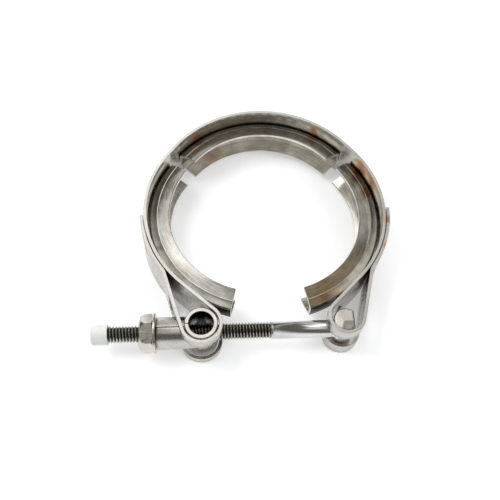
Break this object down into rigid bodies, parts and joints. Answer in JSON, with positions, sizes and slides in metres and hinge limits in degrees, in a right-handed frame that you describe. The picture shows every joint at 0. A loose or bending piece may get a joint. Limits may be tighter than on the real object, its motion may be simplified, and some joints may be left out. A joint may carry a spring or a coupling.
{
  "type": "v-band clamp",
  "caption": "Flat strip ring with V-section retainer segments inside and a T-bolt across its looped ends, for joining flanged exhaust pipes.",
  "frame": {"origin": "centre of the top retainer's arc, which is the axis of the pipe joint, at half the strip's width", "axes": "+Z along the pipe axis, +X along the bolt from its threaded end towards its T-head, +Y from the bolt across the ring"},
  "size_m": [0.1404, 0.1276, 0.024],
  "materials": {
    "band_steel": "bright rolled stainless strip with heat tint at the spot welds",
    "retainer_steel": "satin roll-formed stainless sheet",
    "trunnion_steel": "satin stamped stainless sheet",
    "bolt_steel": "satin shank and head, darker rolled thread",
    "nut_steel": "bright turned steel with a slight warm and blue tint",
    "cap_plastic": "soft white plastic"
  },
  "bodies": {
    "ring": {"band": "band_steel", "retainer_top": "retainer_steel", "retainer_left": "retainer_steel", "retainer_right": "retainer_steel"},
    "trunnion": {"trunnion": "trunnion_steel"},
    "bolt": {"t_bolt": "bolt_steel", "thread_cap": "cap_plastic"},
    "washer": {"nut_washer": "nut_steel"},
    "nut": {"lock_nut": "nut_steel"}
  },
  "joints": [
    {"name": "trunnion_pivot", "type": "hinge", "parent": "ring", "child": "trunnion", "pos_m": [-0.0316, -0.0633, 0], "axis": [0, 0, 1], "range_deg": [-1, 1]},
    {"name": "bolt_pivot", "type": "hinge", "parent": "ring", "child": "bolt", "pos_m": [0.0325, -0.0633, 0], "axis": [0, 0, 1], "range_deg": [-0.4, 0.4]},
    {"name": "washer_slide", "type": "slide", "parent": "bolt", "child": "washer", "axis": [-1, 0, 0], "range_m": [0, 0.0135]},
    {"name": "nut_spin", "type": "hinge", "parent": "washer", "child": "nut", "pos_m": [-0.053, -0.0633, 0], "axis": [-1, 0, 0], "range_deg": [0, 3450]}
  ],
  "couplings": [
    {"joint": "nut_spin", "follows": "washer_slide", "rad_per_m": 4452.6}
  ]
}
